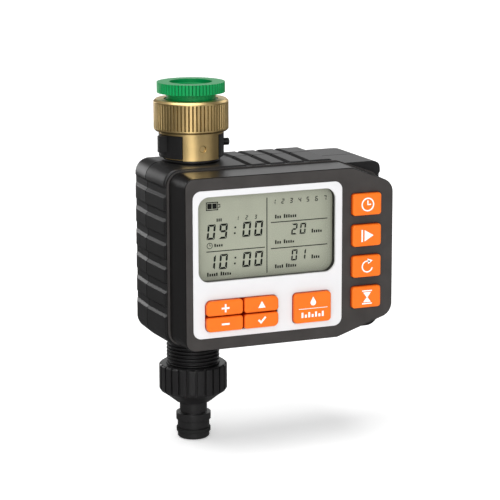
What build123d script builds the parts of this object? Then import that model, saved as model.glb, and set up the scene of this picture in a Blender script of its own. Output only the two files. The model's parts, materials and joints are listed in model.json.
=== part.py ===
from build123d import *
import os

# Drip irrigation timer, millimetres. The tap end is up. X runs to the right along the face, Y to the back.
# The origin is the middle of the inlet thread's mouth, and the water pipe's axis is the Z axis.

# ---- Inlet stack, from the mouth down ----
flange_height = 5.1
flange_radius = 16.7
flute_count = 60
flute_depth = 0.45
inlet_gap = 3.2
nut_height = 15.4
nut_radius = 18.4
knurl_count = 60
knurl_depth = 0.55
collar_height = 13.3
collar_wall = 3.3
stub_gap = 1.4

half_inch_radius = 10.48  # G1/2, major diameter 20.955
three_quarter_radius = 13.22  # G3/4, major diameter 26.44
thread_depth = 1.1
thread_pitch = 1.81
thread_clearance = 0.1
socket_depth = 13.0
reducer_hole_radius = 8.0
washer_thickness = 2.0
washer_hole_radius = 7.5
washer_recess = 0.35  # by which the washer's seat is wider than the G1/2 hole
swivel_lip = 2.6
swivel_radius = 11.2
swivel_clearance = 0.2
collar_flange_radius = 12.6
collar_flange_height = 2.0
water_radius = 8.0

stub_radius = 12.4
stub_clearance = 0.1
stub_top_drop = 3.0
stub_lift = 0.1  # between the housing's top and the stub's shoulder
clip_wall = 2.0
clip_clearance = 0.1
clip_margin = 1.3
clip_window = 36.0  # degrees each side of the front
clip_rib_height = 2.0
clip_rib_angle = 25.0
rib_clearance = 0.25
lock_groove_depth = 0.9
clip_lug_reach = 4.4
clip_lug_width = 2.6
clip_lug_height = 8.0
clip_pin_reach = 3.9
clip_pin_radius = 1.8
dimple_radius = 1.8
dimple_depth = 0.8
o_ring_section = 1.8
filter_length = 9.0
filter_tip_radius = 4.0
filter_wall = 0.8

# ---- Housing ----
left_reach = 20.1  # from the pipe axis to the left edge of the face
face_width = 108.8
face_height = 83.8
face_corner = 5.0
bezel_depth = 20.1
mid_depth = 23.9
rear_depth = 22.0
shell_overhang = 4.0
shell_crown = 1.9
shell_corner = 8.0
shell_draft = 1.0
shell_top_draft = 0.5
bezel_draft = 1.1
bezel_top_draft = 0.3
rear_rounding = 6.5
wall = 2.2
bezel_wall = 2.0
lip_width = 1.2
lip_rise = 0.6
lip_height = 1.3
top_slope_run = 22.0
top_slope_drop = 8.6
bottom_slope_run = 29.5
bottom_slope_drop = 9.8
wing_corner = 7.0
slope_corner = 6.0
bezel_edge = 0.6
shoulder_drop = 2.9
shoulder_ramp = 5.5
shoulder_run = 25.5
shoulder_corner = 5.5

side_groove_count = 6
side_groove_pitch = 11.76
side_groove_width = 5.7
side_groove_floor = 3.3
side_groove_rise = 3.3  # from the face's middle to the row's middle
top_groove_count = 4
top_groove_pitch = 10.15
top_groove_start = 21.0  # from the pipe axis to the first groove
top_groove_width = 3.4
top_groove_floor = 1.2
groove_depth = 1.1
slab_end_rounding = 1.3
seam_chamfer = 0.3

boss_radius = 3.0
boss_inset = 3.3
boss_drop = 4.5
wing_boss_inset = 28.2
head_boss_radius = 4.2
head_boss_depth = 7.0
head_recess = 6.5
screw_radius = 1.25
screw_clearance = 0.15
screw_head_radius = 2.4
screw_head_height = 1.8
gasket_width = 1.0
gasket_inset = 1.4
gasket_height = 1.0
partition_side = 20.0
partition_end = 13.0

# ---- Face ----
plate_thickness = 1.2
plate_width = 77.8
plate_height = 71.9
plate_corner = 4.2
plate_left_margin = 3.7
plate_bottom_margin = 5.9
plate_clearance = 0.1
window_width = 71.35
window_height = 41.25
window_corner = 5.5
window_left = 2.85
window_bottom = 27.5
glass_margin = 1.5
glass_thickness = 1.2
window_skirt_depth = 2.0
window_skirt_wall = 1.3
display_thickness = 2.8
seat_gap = 0.05

button_stand_out = 2.6
button_edge = 0.7
keypad_corner = 2.6
program_corner = 1.9
wing_button_corner = 1.5
button_clearance = 0.25
button_flange = 1.0
button_flange_thickness = 1.0
button_travel = 0.7
switch_gap = 0.1  # left between a pressed button and its switch
key_gap = 0.45
keypad_left = 6.2
keypad_bottom = 3.4
key_width = 18.7
right_key_width = 18.0
key_height = 7.35
program_left = 51.5
program_bottom = 3.4
program_width = 19.7
program_height = 14.9
wing_button_width = 15.3
wing_button_height = 10.8
wing_button_pitch = 15.4
wing_button_right_margin = 7.2
wing_button_bottom = 14.0

# ---- Electronics ----
board_thickness = 1.6
board_back_from_face = 11.6
board_left_margin = 7.3
board_right_margin = 4.9
board_low_margin = 10.4
board_top_margin = 8.8
switch_size = 4.5
switch_body_height = 2.4
switch_height = 3.5
post_radius = 1.8
post_hole_radius = 1.0
post_plate_gap = 1.0
post_top_drop = 18.0
post_bottom_rise = 31.0
post_program_gap = 4.0
post_plate_rise = 11.0

# ---- Valve ----
pipe_radius = 11.0
neck_radius = 12.6
neck_clearance = 0.15
neck_flange_radius = 13.5
neck_flange_height = 2.0
spigot_shoulder = 3.0
spigot_reach = 24.7
chamber_offset = 29.2
chamber_radius = 17.5
chamber_height = 12.0
chamber_top_drop = 53.6
chamber_wall = 3.0
seat_radius = 8.5
seat_bore = 6.0
seat_height = 0.1
ear_radius = 3.2
ear_circle = 19.0
diaphragm_thickness = 1.5
disc_radius = 9.0
disc_thickness = 1.5
disc_lift = 2.5
bonnet_height = 8.0
bonnet_cavity_spare = 1.0
guide_radius = 4.4
guide_bore = 3.6
guide_height = 19.4
orifice_radius = 0.8
plunger_radius = 3.4
plunger_length = 14.0
plunger_rest_gap = 1.4  # above the bonnet's cavity
coil_radius = 9.5
coil_height = 18.0
coil_bore = 4.6
yoke_thickness = 1.6
yoke_width = 14.0
core_length = 2.0
wire_radius = 0.6

# ---- Batteries ----
cell_radius = 7.1
cell_length = 49.2
cell_nub_radius = 2.7
cell_nub_length = 1.3
cell_gap = 1.4
cell_back_room = 1.2
cell_clearance = 0.4
cells_right_margin = 21.5
cells_low_margin = 18.2
holder_wall = 1.5
contact_room = 3.2
contact_thickness = 0.4
cover_margin = 2.4
cover_thickness = 1.6
cover_corner = 3.0
cover_clearance = 0.2
seal_width = 1.0
seal_height = 0.8
cover_pad = 1.6
cover_tab_width = 8.0
cover_tab_height = 4.6
cover_tab_spread = 22.0
cover_screw_radius = 1.0
cover_screw_head = 1.8
cover_screw_length = 5.0

# ---- Outlet ----
outlet_gap = 15.2
outlet_nut_height = 14.0
outlet_nut_radius = 17.0
rib_count = 24
rib_groove_depth = 1.0
rib_groove_width = 1.3
cone_height = 6.5
nipple_neck_radius = 6.85
nipple_neck_length = 5.1
nipple_ring_radius = 8.7
nipple_ring_height = 3.5
nipple_waist_length = 4.3
nipple_radius = 8.0
nipple_bore = 5.0
nipple_ring_seat = 1.9
nipple_tip_length = 3.2
nut_thread_depth = 11.6

# ---- Levels that follow ----
collar_radius = stub_radius + stub_clearance + collar_wall
flange_bottom = -flange_height
nut_top = flange_bottom - inlet_gap
nut_bottom = nut_top - nut_height
collar_bottom = nut_bottom - collar_height
shell_top = collar_bottom - stub_gap
face_top = shell_top - shell_crown
face_bottom = face_top - face_height
shell_bottom = face_bottom - shell_crown
face_left = -left_reach
face_right = face_left + face_width
shell_left = face_left - shell_overhang
shell_right = face_right + shell_overhang
lip_back = -mid_depth
face_front = lip_back - bezel_depth
bezel_inner_front = face_front + bezel_wall
rear_back = rear_depth
middle_z = (face_top + face_bottom) / 2
middle_x = (face_left + face_right) / 2

plate_left = face_left + plate_left_margin
plate_bottom = face_bottom + plate_bottom_margin
plate_x = plate_left + plate_width / 2
plate_z = plate_bottom + plate_height / 2
window_x = plate_left + window_left + window_width / 2
window_z = plate_bottom + window_bottom + window_height / 2

button_front = face_front - button_stand_out
button_back = bezel_inner_front + 0.1 + button_flange_thickness
keypad_x = plate_left + keypad_left
keypad_z = plate_bottom + keypad_bottom
keypad_width = key_width + key_gap + right_key_width
keypad_height = 2 * key_height + key_gap
right_key_x = keypad_x + key_width + key_gap
upper_key_z = keypad_z + key_height + key_gap
program_x = plate_left + program_left
program_z = plate_bottom + program_bottom
wing_button_x = face_right - wing_button_right_margin - wing_button_width
wing_button_z = face_bottom + wing_button_bottom
# Each frame is the hole that its buttons share: left, bottom, width, height.
keypad_frame = (keypad_x, keypad_z, keypad_width, keypad_height)
program_frame = (program_x, program_z, program_width, program_height)
wing_frames = [
    (wing_button_x, wing_button_z + step * wing_button_pitch, wing_button_width, wing_button_height)
    for step in range(4)
]
wing_holes = [(frame, wing_button_corner) for frame in wing_frames]
holes = [(keypad_frame, keypad_corner), (program_frame, program_corner)] + wing_holes
# Each button: its name, its left, bottom, width and height, its frame, and the frame's corner radius.
buttons = [
    ("plus_button", (keypad_x, upper_key_z, key_width, key_height), keypad_frame, keypad_corner),
    ("minus_button", (keypad_x, keypad_z, key_width, key_height), keypad_frame, keypad_corner),
    ("up_button", (right_key_x, upper_key_z, right_key_width, key_height), keypad_frame, keypad_corner),
    ("ok_button", (right_key_x, keypad_z, right_key_width, key_height), keypad_frame, keypad_corner),
    ("program_button", program_frame, program_frame, program_corner),
    ("duration_button", wing_frames[0], wing_frames[0], wing_button_corner),
    ("interval_button", wing_frames[1], wing_frames[1], wing_button_corner),
    ("start_button", wing_frames[2], wing_frames[2], wing_button_corner),
    ("clock_button", wing_frames[3], wing_frames[3], wing_button_corner),
]

window_skirt_back = bezel_inner_front + window_skirt_depth
glass_front = window_skirt_back + seat_gap
display_front = glass_front + glass_thickness + seat_gap
display_back = display_front + display_thickness
board_back = face_front + board_back_from_face
board_front = board_back - board_thickness

wing_boss_x = face_right - wing_boss_inset
bosses = [
    (face_left + boss_inset, face_top - boss_drop),
    (wing_boss_x, face_top - boss_drop),
    (wing_boss_x, face_bottom + boss_drop),
    (face_left + boss_inset, face_bottom + boss_drop),
]
posts = [
    (plate_left + plate_width + post_plate_gap, face_top - post_top_drop),
    (plate_left + plate_width + post_plate_gap, face_bottom + post_bottom_rise),
    (plate_left + program_left - post_program_gap, plate_bottom + post_plate_rise),
]

chamber_top = shell_top - chamber_top_drop
bonnet_bottom = chamber_top + diaphragm_thickness
bonnet_cavity = disc_thickness + disc_lift + bonnet_cavity_spare
bonnet_top = bonnet_bottom + bonnet_height
guide_top = bonnet_top + guide_height
plunger_bottom = bonnet_bottom + bonnet_cavity + plunger_rest_gap
plunger_top = plunger_bottom + plunger_length

cells_x = face_right - cells_right_margin
cells_z = face_bottom + cells_low_margin + (cell_length + cell_nub_length) / 2
cells_y = rear_back - wall - cell_back_room - cell_radius
cell_pitch = 2 * cell_radius + cell_gap
holder_width = cell_pitch + 2 * (cell_radius + cell_clearance)
holder_height = cell_length + cell_nub_length + 2 * contact_room
holder_front = cells_y - cell_radius - cell_clearance - holder_wall
cover_width = holder_width + 2 * cover_margin
cover_height = holder_height + 2 * cover_margin

spigot_bottom = shell_bottom - spigot_reach
outlet_nut_top = shell_bottom - outlet_gap
outlet_nut_bottom = outlet_nut_top - outlet_nut_height
cone_bottom = outlet_nut_bottom - cone_height
neck_bottom = cone_bottom - nipple_neck_length
ring_bottom = neck_bottom - nipple_ring_height
waist_bottom = ring_bottom - nipple_waist_length
seat_bottom = waist_bottom - nipple_ring_seat
tip_bottom = seat_bottom - nipple_tip_length

os.makedirs("parts", exist_ok=True)


# ---- Helpers: each adds to, or cuts from, the part being built ----
def facing(y):
    """Plane across the depth at y, seen from the front: its x is X and its y is Z."""
    return Plane.XZ.offset(-y)


def block(x, z, width, height, back, front, corner=0.0, mode=Mode.ADD):
    """Upright block from depth back to depth front, with rounded corners if corner is given."""
    with BuildSketch(facing(back)) as outline:
        with Locations((x, z)):
            if corner:
                RectangleRounded(width, height, corner)
            else:
                Rectangle(width, height)
    extrude(outline.sketch, amount=back - front, mode=mode)


def peg(places, radius, back, front, mode=Mode.ADD):
    """Round pegs or holes along the depth at each (x, z)."""
    with BuildSketch(facing(back)) as outline:
        with Locations(*places):
            Circle(radius)
    extrude(outline.sketch, amount=back - front, mode=mode)


def post(radius, bottom, top, x=0.0, y=0.0, mode=Mode.ADD):
    """Upright cylinder between two levels."""
    with BuildSketch(Plane.XY.offset(bottom)) as outline:
        with Locations((x, y)):
            Circle(radius)
    extrude(outline.sketch, amount=top - bottom, mode=mode)


def ring(outer, inner, bottom, top, x=0.0, y=0.0):
    """Upright tube between two levels."""
    with BuildSketch(Plane.XY.offset(bottom)) as outline:
        with Locations((x, y)):
            Circle(outer)
            Circle(inner, mode=Mode.SUBTRACT)
    extrude(outline.sketch, amount=top - bottom)


def thread_ridges(crest, bottom, top):
    """Annular ridges that stand for a male thread, on a shaft of the root radius."""
    root = crest - thread_depth
    count = int((top - bottom) / thread_pitch)
    with BuildSketch(Plane.XZ) as ridges:
        with Locations(*[(root, bottom + thread_pitch * (turn + 0.5)) for turn in range(count)]):
            Polygon(
                (-0.3, -0.42 * thread_pitch),
                (thread_depth, -0.12 * thread_pitch),
                (thread_depth, 0.12 * thread_pitch),
                (-0.3, 0.42 * thread_pitch),
                align=None,
            )
    revolve(ridges.sketch, axis=Axis.Z)


def edge_grooves(radius, depth, count, bottom, top, width):
    """Upright V grooves round a rim."""
    with BuildSketch(Plane.XY.offset(bottom)) as grooves:
        with PolarLocations(radius, count):
            Polygon((-depth, 0), (0.4, -width / 2), (0.4, width / 2), align=None)
    extrude(grooves.sketch, amount=top - bottom, mode=Mode.SUBTRACT)


def middle_of(box):
    """Middle of a left, bottom, width and height."""
    left, bottom, width, height = box
    return (left + width / 2, bottom + height / 2)


def button_holes(back, front, gap=button_clearance):
    """Openings for all the buttons."""
    for frame, corner in holes:
        x, z = middle_of(frame)
        block(x, z, frame[2] + 2 * gap, frame[3] + 2 * gap, back, front, corner + gap, Mode.SUBTRACT)


def window_opening(back, front):
    """Opening for the display."""
    block(window_x, window_z, window_width, window_height, back, front, window_corner, Mode.SUBTRACT)


def finish(name, label):
    name.part.label = label
    export_step(name.part, "parts/" + label + ".step")


# ---- Inlet stack ----
nut_lip_top = nut_bottom + swivel_lip
collar_flange_bottom = nut_lip_top + seat_gap
collar_flange_top = collar_flange_bottom + collar_flange_height
inlet_washer_bottom = collar_flange_top + seat_gap
reducer_bottom = inlet_washer_bottom + washer_thickness + seat_gap
washer_top = -socket_depth + washer_thickness
with BuildPart() as thread_reducer:
    post(flange_radius, flange_bottom, 0)
    post(three_quarter_radius - thread_depth, reducer_bottom, flange_bottom)
    thread_ridges(three_quarter_radius, reducer_bottom, flange_bottom - inlet_gap / 2)
    post(half_inch_radius, washer_top, 0, mode=Mode.SUBTRACT)
    post(half_inch_radius + washer_recess, -socket_depth, washer_top, mode=Mode.SUBTRACT)
    post(reducer_hole_radius, reducer_bottom, 0, mode=Mode.SUBTRACT)
    edge_grooves(flange_radius, flute_depth, flute_count, flange_bottom, 0, 1.2)
finish(thread_reducer, "thread_reducer")

with BuildPart() as reducer_washer:
    washer_radius = half_inch_radius + washer_recess - thread_clearance
    ring(washer_radius, washer_hole_radius, -socket_depth, washer_top)
finish(reducer_washer, "reducer_washer")

with BuildPart() as brass_nut:
    post(nut_radius, nut_bottom, nut_top)
    chamfer(brass_nut.faces().sort_by(Axis.Z)[-1].edges(), 1.0)
    chamfer(brass_nut.faces().sort_by(Axis.Z)[0].edges(), 0.8)
    edge_grooves(nut_radius, knurl_depth, knurl_count, nut_bottom + 1.4, nut_top - 1.6, 1.3)
    post(three_quarter_radius + thread_clearance, nut_lip_top, nut_top, mode=Mode.SUBTRACT)
    post(swivel_radius + swivel_clearance, nut_bottom, nut_lip_top, mode=Mode.SUBTRACT)
finish(brass_nut, "brass_nut")

collar_top = nut_bottom - swivel_clearance
stub_top = collar_top - stub_top_drop
lock_level = (collar_top + collar_bottom) / 2 - 0.8
clip_top = collar_top - clip_margin + 0.1
clip_bottom = collar_bottom + 0.8
clip_inner = collar_radius + 0.2 - clip_wall
collar_core = clip_inner - clip_clearance


def side_arcs(outer, inner, bottom, top, half_angle, mode=Mode.ADD):
    """Ring sectors centred on +X and -X."""
    with BuildSketch(Plane.XY.offset(bottom)) as arcs:
        with PolarLocations(0, 2):
            with BuildLine():
                near = CenterArc((0, 0), inner, -half_angle, 2 * half_angle)
                far = CenterArc((0, 0), outer, -half_angle, 2 * half_angle)
                Line(near @ 0, far @ 0)
                Line(near @ 1, far @ 1)
            make_face()
    extrude(arcs.sketch, amount=top - bottom, mode=mode)


def front_sector(radius, bottom, top, half_angle, mode):
    """Round sector that points to the front."""
    with BuildSketch(Plane.XY.offset(bottom)) as sector:
        with BuildLine():
            rim = CenterArc((0, 0), radius, -90 - half_angle, 2 * half_angle)
            Line((0, 0), rim @ 0)
            Line((0, 0), rim @ 1)
        make_face()
    extrude(sector.sketch, amount=top - bottom, mode=mode)


with BuildPart() as swivel_collar:
    post(collar_core, collar_bottom, collar_top)
    front_sector(collar_radius, collar_bottom, collar_top, clip_window, Mode.ADD)
    ring(collar_radius, collar_core - 0.1, clip_top + clip_clearance, collar_top)
    post(swivel_radius, collar_top, collar_flange_top)
    post(collar_flange_radius, collar_flange_bottom, collar_flange_top)
    post(stub_radius + stub_clearance, collar_bottom, stub_top + 0.2, mode=Mode.SUBTRACT)
    post(water_radius, collar_bottom, collar_flange_top, mode=Mode.SUBTRACT)
    side_arcs(
        collar_radius,
        stub_radius - 1.0,
        lock_level - clip_rib_height / 2 - rib_clearance,
        lock_level + clip_rib_height / 2 + rib_clearance,
        clip_rib_angle + 2,
        Mode.SUBTRACT,
    )
    peg([(0, lock_level)], dimple_radius, dimple_depth - collar_radius, -collar_radius - 1, Mode.SUBTRACT)
finish(swivel_collar, "swivel_collar")

with BuildPart() as inlet_washer:
    inlet_washer_top = inlet_washer_bottom + washer_thickness
    ring(three_quarter_radius - 0.5, water_radius + 0.5, inlet_washer_bottom, inlet_washer_top)
finish(inlet_washer, "inlet_washer")

filter_top = collar_flange_top - 0.4
with BuildPart() as inlet_filter:
    with BuildSketch(Plane.XZ) as filter_profile:
        with BuildLine():
            Polyline(
                (water_radius - 0.2, filter_top),
                (water_radius - 0.2, filter_top - 1.2),
                (filter_tip_radius, filter_top - filter_length),
                (0, filter_top - filter_length),
                (0, filter_top - filter_length + filter_wall),
                (filter_tip_radius - filter_wall, filter_top - filter_length + filter_wall),
                (water_radius - 0.2 - filter_wall, filter_top),
                close=True,
            )
        make_face()
    revolve(axis=Axis.Z)
finish(inlet_filter, "inlet_filter")

with BuildPart() as inlet_lock_clip:
    ring(clip_inner + clip_wall, clip_inner, clip_bottom, clip_top)
    front_sector(collar_radius + 3, clip_bottom, clip_top, clip_window + 1, Mode.SUBTRACT)
    side_arcs(
        clip_inner + 0.2,
        stub_radius - lock_groove_depth + 0.2,
        lock_level - clip_rib_height / 2,
        lock_level + clip_rib_height / 2,
        clip_rib_angle,
    )
    with BuildSketch(Plane.XY.offset(clip_top - clip_lug_height)) as lug:
        with Locations((-clip_inner - clip_lug_reach / 2 - 0.4, -4.5)):
            Rectangle(clip_lug_reach, clip_lug_width)
    extrude(lug.sketch, amount=clip_lug_height)
    with BuildSketch(Plane.YZ.offset(clip_inner + 0.6)) as pin:
        with Locations((-2.5, lock_level + 1.0)):
            Circle(clip_pin_radius)
    extrude(pin.sketch, amount=clip_pin_reach)
finish(inlet_lock_clip, "inlet_lock_clip")

o_ring_level = stub_top - 1.5
with BuildPart() as swivel_o_ring:
    ring(
        stub_radius + stub_clearance,
        stub_radius - o_ring_section + 0.4,
        o_ring_level - o_ring_section / 2,
        o_ring_level + o_ring_section / 2,
    )
finish(swivel_o_ring, "swivel_o_ring")


# ---- Housing ----
def shell_outline(y, inset, drop):
    """Outline of the shells at depth y, in by inset at the sides and by drop at top and bottom."""
    with BuildSketch(facing(y)) as outline:
        with Locations(((shell_left + shell_right) / 2, middle_z)):
            RectangleRounded(
                shell_right - shell_left - 2 * inset,
                shell_top - shell_bottom - 2 * drop,
                shell_corner - inset,
            )
    return outline.sketch


def shoulder(back, front, inset, mode):
    """The step down at the top right and the bottom right of the shells."""
    start = face_right - shoulder_run
    level = shell_top - shoulder_drop - inset
    right = shell_right - inset + 0.5
    with BuildSketch(facing(back)) as corner:
        with BuildLine():
            ramp_rise = 2 * shoulder_drop / shoulder_ramp
            top = Line((start - 2, level + shoulder_drop + ramp_rise), (start + shoulder_ramp, level))
            flat = Line(top @ 1, (right - shoulder_corner - 0.8, level))
            bend = RadiusArc(flat @ 1, (right - 0.8, level - shoulder_corner), shoulder_corner)
            Polyline(bend @ 1, (right + 6, level - shoulder_corner), (right + 6, level + 12), top @ 0)
        make_face()
        mirror(corner.sketch, about=Plane.XZ.offset(-middle_z))
    extrude(corner.sketch, amount=back - front, mode=mode)


def grooves(middle, outward, along, count, pitch, width, floor, length):
    """Grip grooves in one wall, which follow the wall's draft."""
    with BuildSketch(Plane(origin=middle, x_dir=outward, z_dir=along)) as row:
        with GridLocations(pitch, pitch, 1, count):
            Polygon(
                (-groove_depth, -floor / 2),
                (-groove_depth, floor / 2),
                (groove_depth, width - floor / 2),
                (groove_depth, floor / 2 - width),
                align=None,
            )
    extrude(row.sketch, amount=length, mode=Mode.SUBTRACT)


def cut_grip(depth, direction):
    """Grooves on the sides and top of a shell that runs from the seam to the front, -1, or the back, 1."""
    top_middle = top_groove_start + top_groove_pitch * (top_groove_count - 1) / 2
    for side in (-1, 1):
        edge = shell_left if side < 0 else shell_right
        grooves(
            (edge, 0, middle_z + side_groove_rise),
            (side * depth, direction * shell_draft, 0),
            (-side * shell_draft, direction * depth, 0),
            side_groove_count,
            side_groove_pitch,
            side_groove_width,
            side_groove_floor,
            depth + 1,
        )
    grooves(
        (top_middle, 0, shell_top),
        (0, direction * shell_top_draft, depth),
        (0, direction * depth, -shell_top_draft),
        top_groove_count,
        top_groove_pitch,
        top_groove_width,
        top_groove_floor,
        depth + 1,
    )


def pipe_openings():
    """Half holes for the valve's two necks."""
    post(neck_radius + neck_clearance, shell_top - 12, shell_top + 1, mode=Mode.SUBTRACT)
    post(neck_radius + neck_clearance, shell_bottom - 1, shell_bottom + 12, mode=Mode.SUBTRACT)
    post(neck_flange_radius + neck_clearance, shell_bottom + skin, shell_top - skin, mode=Mode.SUBTRACT)


rear_inner = rear_back - wall
pad_front = rear_inner - cover_pad
head_seat = rear_back - head_recess
skin = wall + groove_depth
cover_screw_places = [
    (cells_x + side * cover_tab_spread / 2, cells_z - cover_height / 2 - cover_tab_height / 2 + 0.4)
    for side in (-1, 1)
]


def cover_shape(back, front, gap, mode):
    """The battery cover's plate with its two screw tabs, or the recess for it when gap is over 0."""
    block(cells_x, cells_z, cover_width + 2 * gap, cover_height + 2 * gap, back, front, cover_corner, mode)
    for x, z in cover_screw_places:
        tab_height = cover_tab_height + 1.2 + 2 * gap
        block(x, z + 0.6, cover_tab_width + 2 * gap, tab_height, back, front, 1.5, mode)


partition_width = face_width - 2 * partition_side
partition_height = face_height - 2 * partition_end


def face_outline(y, grow, rise):
    """Outline of the front frame at depth y, out by grow at the sides and by rise at top and bottom."""
    left = face_left - grow
    right = face_right + grow
    top = face_top + rise
    bottom = face_bottom - rise
    with BuildSketch(facing(y)) as outline:
        with BuildLine():
            Polyline(
                (left, bottom),
                (face_right - bottom_slope_run, bottom),
                (right, bottom + bottom_slope_drop),
                (right, top - top_slope_drop),
                (face_right - top_slope_run, top),
                (left, top),
                close=True,
            )
        make_face()
        starts = outline.vertices().filter_by(lambda corner: left + 1 < corner.X < right - 1)
        fillet(starts, slope_corner)
        fillet(outline.vertices().group_by(Axis.X)[0], face_corner + grow)
        fillet(outline.vertices().group_by(Axis.X)[-1], wing_corner + grow)
    return outline.sketch


def gasket_track(y):
    """Ring that the front frame's rear edge presses on."""
    outer = gasket_width / 2 - gasket_inset
    inner = outer - gasket_width
    wide = face_outline(y, bezel_draft + outer, bezel_top_draft + outer)
    return wide - face_outline(y, bezel_draft + inner, bezel_top_draft + inner)


def seal_track(y):
    """Ring outline of the battery cover's seal."""
    with BuildSketch(facing(y)) as track:
        with Locations((cells_x, cells_z)):
            Rectangle(holder_width + 2 * seal_width + 0.6, holder_height + 2 * seal_width + 0.6)
            Rectangle(holder_width + 0.6, holder_height + 0.6, mode=Mode.SUBTRACT)
    return track.sketch


def shell_sections(depth, way):
    """Outlines from the seam, with its chamfer, to the drafted end of a shell; way is 1 for the rear one."""
    share = seam_chamfer / depth
    return [
        shell_outline(0, seam_chamfer, seam_chamfer),
        shell_outline(way * seam_chamfer, share * shell_draft, share * shell_top_draft),
        shell_outline(way * depth, shell_draft, shell_top_draft),
    ]


def hollow(near, near_inset, far, far_inset):
    """Space inside a shell, between two depths."""
    with BuildPart() as space:
        ends = [shell_outline(near, near_inset, near_inset), shell_outline(far, far_inset, far_inset)]
        loft(ends, ruled=True)
        shoulder(max(near, far) + 1, min(near, far) - 1, wall, Mode.SUBTRACT)
    return space.part


with BuildPart() as rear_housing:
    loft(shell_sections(rear_depth, 1), ruled=True)
    fillet(rear_housing.faces().sort_by(Axis.Y)[-1].edges(), rear_rounding)
    shoulder(rear_back + 1, -1, 0, Mode.SUBTRACT)
    cut_grip(rear_depth, 1)
    add(hollow(0, skin, rear_inner, skin + rear_rounding / 2), mode=Mode.SUBTRACT)
    peg(bosses, boss_radius, rear_inner, 0)
    peg(bosses, head_boss_radius, rear_inner, rear_inner - head_boss_depth)
    peg(bosses, screw_radius + screw_clearance, rear_back, 0, Mode.SUBTRACT)
    peg(bosses, screw_head_radius + screw_clearance, rear_back + 1, head_seat, Mode.SUBTRACT)
    block(cells_x, cells_z, cover_width, cover_height + 2 * cover_tab_height, rear_inner, pad_front)
    peg(cover_screw_places, cover_screw_head, pad_front, pad_front - 3)
    cover_shape(rear_back + 1, rear_back - cover_thickness, cover_clearance, Mode.SUBTRACT)
    block(cells_x, cells_z, holder_width, holder_height, rear_back, pad_front, mode=Mode.SUBTRACT)
    peg(cover_screw_places, cover_screw_radius + screw_clearance, rear_back, pad_front - 2.5, Mode.SUBTRACT)
    pipe_openings()
finish(rear_housing, "rear_housing")

partition_back = lip_back + wall
with BuildPart() as mid_housing:
    loft(shell_sections(mid_depth, -1), ruled=True)
    fillet(mid_housing.faces().sort_by(Axis.Y)[0].edges(), slab_end_rounding)
    shoulder(1, lip_back - 1, 0, Mode.SUBTRACT)
    cut_grip(mid_depth, -1)
    add(hollow(0, skin, partition_back, skin + shell_draft), mode=Mode.SUBTRACT)
    peg(bosses, boss_radius, 0, partition_back)
    block(middle_x, middle_z, partition_width, partition_height, 0, lip_back - 1, 4, Mode.SUBTRACT)
    peg(bosses, screw_radius + screw_clearance, 1, lip_back - 1, Mode.SUBTRACT)
    pipe_openings()
    extrude(gasket_track(lip_back), amount=-gasket_height, mode=Mode.SUBTRACT)
finish(mid_housing, "mid_housing")

with BuildPart() as housing_gasket:
    extrude(gasket_track(lip_back), amount=-gasket_height)
finish(housing_gasket, "housing_gasket")


# ---- Face ----
with BuildPart() as front_bezel:
    loft([face_outline(face_front, 0, 0), face_outline(lip_back, bezel_draft, bezel_top_draft)], ruled=True)
    fillet(front_bezel.faces().sort_by(Axis.Y)[0].edges(), bezel_edge)
    extrude(face_outline(lip_back, bezel_draft + lip_width, bezel_top_draft + lip_rise), amount=lip_height)
    mouth = face_outline(lip_back, bezel_draft - bezel_wall, bezel_top_draft - bezel_wall)
    loft([face_outline(bezel_inner_front, -bezel_wall, -bezel_wall), mouth], ruled=True, mode=Mode.SUBTRACT)
    peg(bosses, boss_radius, lip_back, bezel_inner_front)
    peg(posts, post_radius, board_front, bezel_inner_front)
    peg(bosses, screw_radius, lip_back + 1, bezel_inner_front + 1, Mode.SUBTRACT)
    peg(posts, post_hole_radius, board_front, bezel_inner_front + 1, Mode.SUBTRACT)
    plate_back = face_front + plate_thickness
    recess = (plate_back, face_front - 1, plate_corner, Mode.SUBTRACT)
    block(plate_x, plate_z, plate_width, plate_height, *recess)
    skirt_width = window_width + 2 * window_skirt_wall
    skirt_height = window_height + 2 * window_skirt_wall
    block(window_x, window_z, skirt_width, skirt_height, window_skirt_back, bezel_inner_front, window_corner)
    window_opening(window_skirt_back, face_front)
    button_holes(bezel_inner_front + 0.5, face_front - 1)
finish(front_bezel, "front_bezel")

with BuildPart() as face_plate:
    block(
        plate_x,
        plate_z,
        plate_width - 2 * plate_clearance,
        plate_height - 2 * plate_clearance,
        face_front + plate_thickness,
        face_front,
        plate_corner - plate_clearance,
    )
    window_opening(bezel_inner_front, face_front - 1)
    button_holes(lip_back, face_front - 1)
finish(face_plate, "face_plate")

glass_width = window_width + 2 * glass_margin
glass_height = window_height + 2 * glass_margin
with BuildPart() as display_window:
    block(window_x, window_z, glass_width, glass_height, glass_front + glass_thickness, glass_front)
finish(display_window, "display_window")

with BuildPart() as lcd_module:
    block(window_x, window_z, glass_width, glass_height, display_back, display_front)
finish(lcd_module, "lcd_module")

with BuildPart() as display_connector:
    for side in (-1, 1):
        strip_z = window_z + side * (window_height / 2 - 1)
        block(window_x, strip_z, window_width * 0.85, 2.4, board_front, display_back)
finish(display_connector, "display_connector")

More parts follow.
